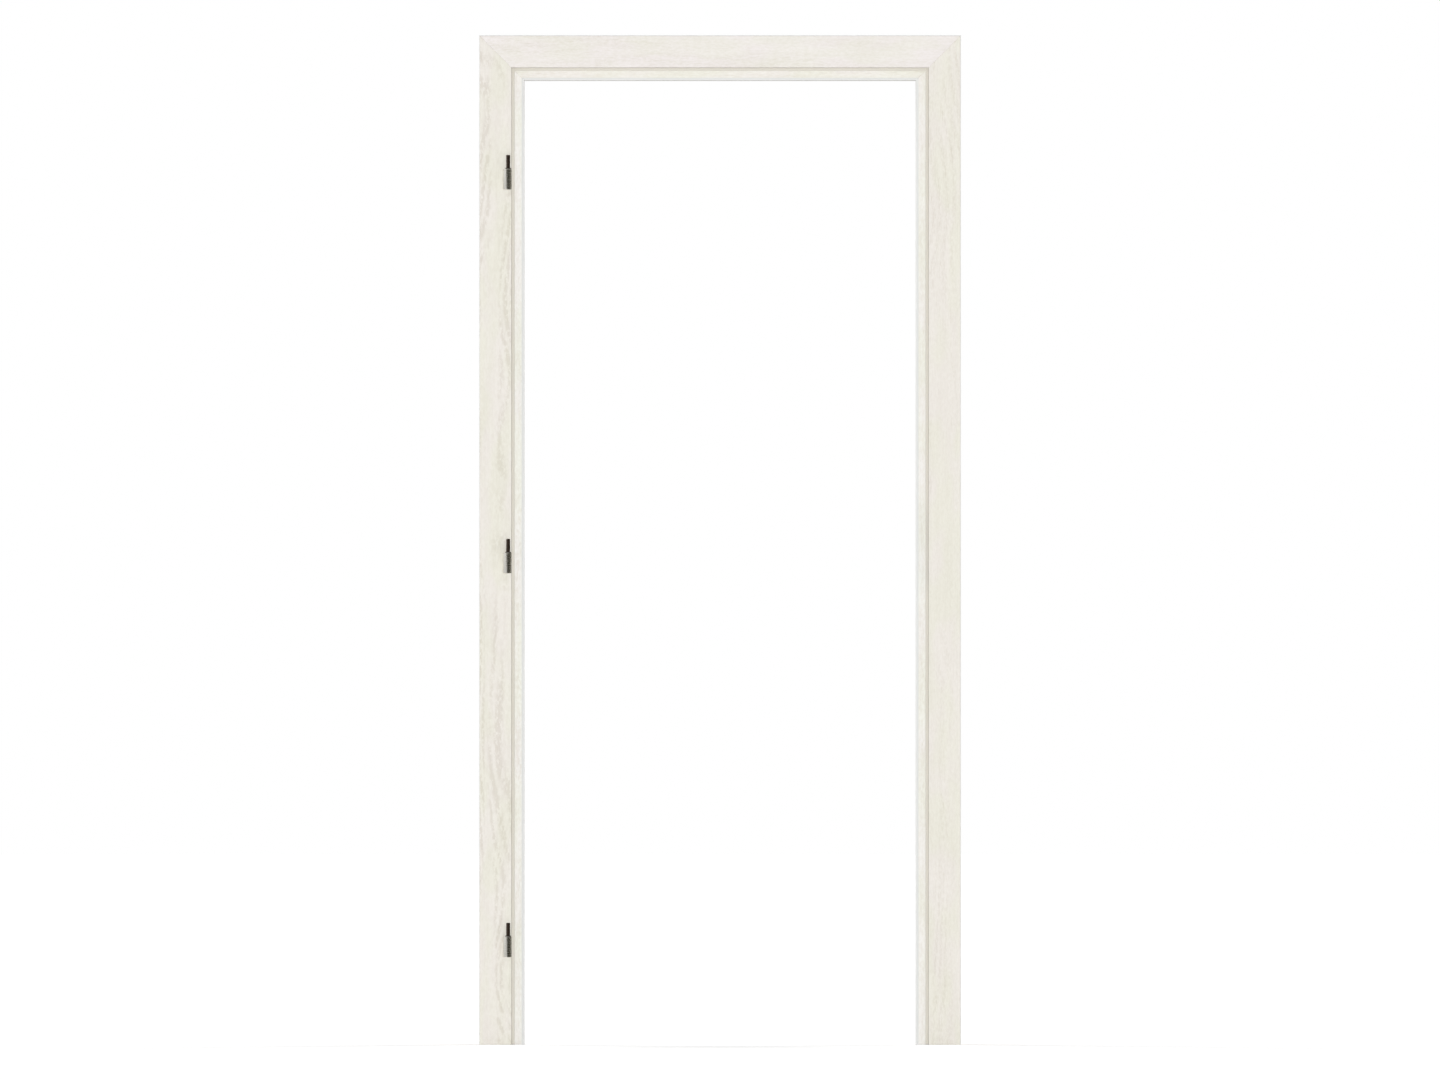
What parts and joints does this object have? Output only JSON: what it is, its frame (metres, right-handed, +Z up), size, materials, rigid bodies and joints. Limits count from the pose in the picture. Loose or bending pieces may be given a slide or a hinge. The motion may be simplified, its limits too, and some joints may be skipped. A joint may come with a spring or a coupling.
{
  "type": "door frame",
  "caption": "Lined door frame with mitred casings, rebate and tubular seal, hinge pins on the left upright, strike plate on the right, and rear casings that slide to suit the wall.",
  "frame": {"origin": "floor level, in the middle of the opening's width and of the overall depth", "axes": "+Z up, +X to the right seen from the hinge side, +Y into the wall"},
  "size_m": [0.984, 0.1726, 2.062],
  "materials": {
    "foil_board": "whitewashed oak foil, satin",
    "seal": "soft beige, matt",
    "hinge_steel": "satin nickel",
    "pin_steel": "blackened",
    "bearing_plastic": "black",
    "zinc_steel": "zinc plated",
    "plate_steel": "satin",
    "beech": "bare",
    "key_plastic": "grey"
  },
  "bodies": {
    "frame": {"casing_left": "foil_board", "casing_right": "foil_board", "casing_head": "foil_board", "lining_left": "foil_board", "lining_right": "foil_board", "lining_head": "foil_board", "rebate_seal": "seal", "hinge_knuckle_top": "hinge_steel", "hinge_knuckle_middle": "hinge_steel", "hinge_knuckle_bottom": "hinge_steel", "hinge_pin_top": "pin_steel", "hinge_pin_middle": "pin_steel", "hinge_pin_bottom": "pin_steel", "hinge_receiver_top": "zinc_steel", "hinge_receiver_middle": "zinc_steel", "hinge_receiver_bottom": "zinc_steel", "hinge_bushes": "bearing_plastic", "hinge_clamp_screws": "pin_steel", "strike_plate": "plate_steel", "strike_screws": "zinc_steel", "lining_biscuits": "beech", "front_mitre_keys": "key_plastic"},
    "rear_casing": {"rear_casing_left": "foil_board", "rear_casing_right": "foil_board", "rear_casing_head": "foil_board", "rear_mitre_keys": "key_plastic"}
  },
  "joints": [
    {"name": "rear_casing_slide", "type": "slide", "parent": "frame", "child": "rear_casing", "axis": [0, 1, 0], "range_m": [0, 0.02]}
  ]
}
